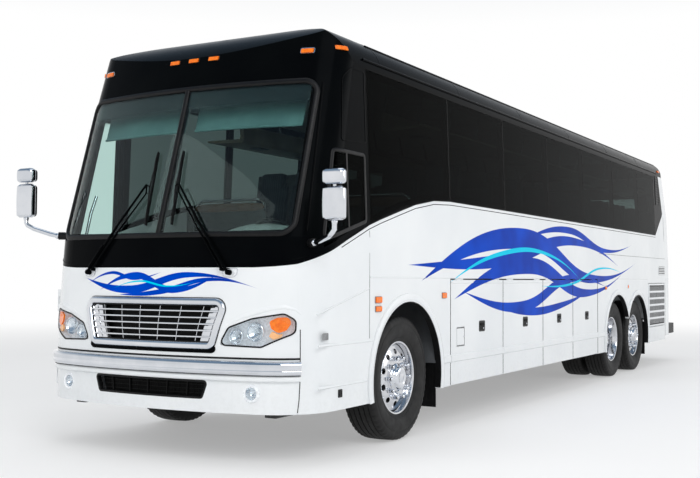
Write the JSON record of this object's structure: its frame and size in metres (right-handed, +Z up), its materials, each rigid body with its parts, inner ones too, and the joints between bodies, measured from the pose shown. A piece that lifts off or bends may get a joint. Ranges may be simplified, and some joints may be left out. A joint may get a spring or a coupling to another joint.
{
  "type": "three-axle touring coach",
  "caption": "Three-axle highway coach with flush side glazing, underfloor baggage bays, a front entrance door and a rear engine door.",
  "frame": {"origin": "on the ground under the middle of the coach, half way along its length and width", "axes": "+X towards the driver's side, +Y towards the rear, +Z up; the front faces -Y"},
  "size_m": [3.2, 12.1898, 3.4422],
  "materials": {
    "white_paint": "gloss",
    "black_paint": "gloss",
    "chrome": "polished",
    "clear_lens": "gloss",
    "tinted_glass": "gloss",
    "screen_glass": "gloss",
    "black_rubber": "matte",
    "red_lens": "gloss",
    "amber_lens": "gloss",
    "grey_louvre": "satin",
    "floor_vinyl": "matte",
    "chassis_steel": "satin",
    "bay_lining": "satin",
    "engine_iron": "matte",
    "axle_iron": "satin",
    "black_trim": "satin",
    "seat_cloth": "matte",
    "rack_plastic": "satin",
    "dash_plastic": "satin",
    "tyre_rubber": "matte",
    "polished_alloy": "polished"
  },
  "bodies": {
    "coach_body": {"side_wall_left": "white_paint", "side_wall_right": "white_paint", "roof": "black_paint", "front_mask": "black_paint", "front_panel": "white_paint", "grille": "chrome", "front_bumper": "white_paint", "bumper_bar": "chrome", "headlamps": "clear_lens", "side_glass_left": "tinted_glass", "side_glass_right": "tinted_glass", "end_glass": "screen_glass", "rear_cap": "white_paint", "rear_bumper": "black_rubber", "tail_lamps": "red_lens", "cabin_floor": "floor_vinyl", "chassis": "chassis_steel", "bay_structure": "bay_lining", "engine": "engine_iron", "axles": "axle_iron", "mirrors": "chrome", "wipers": "black_trim", "marker_lamps": "amber_lens", "mud_flaps": "black_rubber", "seats": "seat_cloth", "luggage_racks": "rack_plastic", "cab_fittings": "dash_plastic"},
    "entrance_door": {"entrance_door": "white_paint", "entrance_door_glass": "tinted_glass"},
    "roof_hatch_front": {"roof_hatch_front": "black_paint"},
    "roof_hatch_rear": {"roof_hatch_rear": "black_paint"},
    "engine_door": {"engine_door": "white_paint"},
    "radiator_door_left": {"radiator_door_left": "grey_louvre"},
    "radiator_door_right": {"radiator_door_right": "grey_louvre"},
    "filler_flap": {"filler_flap": "white_paint"},
    "knuckle_left": {"knuckle_left": "axle_iron"},
    "knuckle_right": {"knuckle_right": "axle_iron"},
    "baggage_door_left_1": {"baggage_door_left_1": "white_paint"},
    "baggage_door_left_2": {"baggage_door_left_2": "white_paint"},
    "baggage_door_left_3": {"baggage_door_left_3": "white_paint"},
    "baggage_door_left_4": {"baggage_door_left_4": "white_paint"},
    "front_wheel_left": {"front_tyre_left": "tyre_rubber", "front_rim_left": "polished_alloy"},
    "drive_wheels_left": {"drive_tyres_left": "tyre_rubber", "drive_rims_left": "polished_alloy"},
    "tag_wheel_left": {"tag_tyre_left": "tyre_rubber", "tag_rim_left": "polished_alloy"},
    "baggage_door_right_1": {"baggage_door_right_1": "white_paint"},
    "baggage_door_right_2": {"baggage_door_right_2": "white_paint"},
    "baggage_door_right_3": {"baggage_door_right_3": "white_paint"},
    "baggage_door_right_4": {"baggage_door_right_4": "white_paint"},
    "front_wheel_right": {"front_tyre_right": "tyre_rubber", "front_rim_right": "polished_alloy"},
    "drive_wheels_right": {"drive_tyres_right": "tyre_rubber", "drive_rims_right": "polished_alloy"},
    "tag_wheel_right": {"tag_tyre_right": "tyre_rubber", "tag_rim_right": "polished_alloy"}
  },
  "joints": [
    {"name": "entrance_door_hinge", "type": "hinge", "parent": "coach_body", "child": "entrance_door", "pos_m": [-1.244, -5.729, 0.86], "axis": [0, 0, 1], "range_deg": [0, 80]},
    {"name": "baggage_door_left_1_hinge", "type": "hinge", "parent": "coach_body", "child": "baggage_door_left_1", "pos_m": [1.293, -2.725, 1.35], "axis": [0, -1, 0], "range_deg": [0, 90]},
    {"name": "baggage_door_left_2_hinge", "type": "hinge", "parent": "coach_body", "child": "baggage_door_left_2", "pos_m": [1.293, -1.445, 1.35], "axis": [0, -1, 0], "range_deg": [0, 90]},
    {"name": "baggage_door_left_3_hinge", "type": "hinge", "parent": "coach_body", "child": "baggage_door_left_3", "pos_m": [1.293, -0.27, 1.35], "axis": [0, -1, 0], "range_deg": [0, 90]},
    {"name": "baggage_door_left_4_hinge", "type": "hinge", "parent": "coach_body", "child": "baggage_door_left_4", "pos_m": [1.293, 0.82, 1.35], "axis": [0, -1, 0], "range_deg": [0, 90]},
    {"name": "radiator_door_left_hinge", "type": "hinge", "parent": "coach_body", "child": "radiator_door_left", "pos_m": [1.293, 4.131, 0.955], "axis": [0, 0, -1], "range_deg": [0, 90]},
    {"name": "baggage_door_right_1_hinge", "type": "hinge", "parent": "coach_body", "child": "baggage_door_right_1", "pos_m": [-1.293, -2.725, 1.35], "axis": [0, 1, 0], "range_deg": [0, 90]},
    {"name": "baggage_door_right_2_hinge", "type": "hinge", "parent": "coach_body", "child": "baggage_door_right_2", "pos_m": [-1.293, -1.445, 1.35], "axis": [0, 1, 0], "range_deg": [0, 90]},
    {"name": "baggage_door_right_3_hinge", "type": "hinge", "parent": "coach_body", "child": "baggage_door_right_3", "pos_m": [-1.293, -0.27, 1.35], "axis": [0, 1, 0], "range_deg": [0, 90]},
    {"name": "baggage_door_right_4_hinge", "type": "hinge", "parent": "coach_body", "child": "baggage_door_right_4", "pos_m": [-1.293, 0.82, 1.35], "axis": [0, 1, 0], "range_deg": [0, 90]},
    {"name": "radiator_door_right_hinge", "type": "hinge", "parent": "coach_body", "child": "radiator_door_right", "pos_m": [-1.293, 4.131, 0.955], "axis": [0, 0, 1], "range_deg": [0, 90]},
    {"name": "engine_door_hinge", "type": "hinge", "parent": "coach_body", "child": "engine_door", "pos_m": [0, 5.897, 1.754], "axis": [1, 0, 0], "range_deg": [0, 80]},
    {"name": "roof_hatch_front_hinge", "type": "hinge", "parent": "coach_body", "child": "roof_hatch_front", "pos_m": [0, -3.098, 3.418], "axis": [1, 0, 0], "range_deg": [0, 45]},
    {"name": "roof_hatch_rear_hinge", "type": "hinge", "parent": "coach_body", "child": "roof_hatch_rear", "pos_m": [0, 2.302, 3.418], "axis": [1, 0, 0], "range_deg": [0, 45]},
    {"name": "filler_flap_hinge", "type": "hinge", "parent": "baggage_door_left_1", "child": "filler_flap", "pos_m": [1.293, -3.249, 0.815], "axis": [0, 0, -1], "range_deg": [0, 90]},
    {"name": "steering_left", "type": "hinge", "parent": "coach_body", "child": "knuckle_left", "pos_m": [1, -4.278, 0.522], "axis": [0, 0, 1], "range_deg": [-38, 38]},
    {"name": "front_wheel_left_spin", "type": "hinge", "parent": "knuckle_left", "child": "front_wheel_left", "pos_m": [1.096, -4.278, 0.522], "axis": [1, 0, 0], "continuous": true},
    {"name": "drive_wheels_left_spin", "type": "hinge", "parent": "coach_body", "child": "drive_wheels_left", "pos_m": [0.9235, 2.32, 0.522], "axis": [1, 0, 0], "continuous": true},
    {"name": "tag_wheel_left_spin", "type": "hinge", "parent": "coach_body", "child": "tag_wheel_left", "pos_m": [1.096, 3.501, 0.522], "axis": [1, 0, 0], "continuous": true},
    {"name": "steering_right", "type": "hinge", "parent": "coach_body", "child": "knuckle_right", "pos_m": [-1, -4.278, 0.522], "axis": [0, 0, 1], "range_deg": [-38, 38]},
    {"name": "front_wheel_right_spin", "type": "hinge", "parent": "knuckle_right", "child": "front_wheel_right", "pos_m": [-1.096, -4.278, 0.522], "axis": [1, 0, 0], "continuous": true},
    {"name": "drive_wheels_right_spin", "type": "hinge", "parent": "coach_body", "child": "drive_wheels_right", "pos_m": [-0.9235, 2.32, 0.522], "axis": [1, 0, 0], "continuous": true},
    {"name": "tag_wheel_right_spin", "type": "hinge", "parent": "coach_body", "child": "tag_wheel_right", "pos_m": [-1.096, 3.501, 0.522], "axis": [1, 0, 0], "continuous": true}
  ],
  "couplings": [
    {"joint": "steering_right", "follows": "steering_left", "ratio": 1}
  ]
}
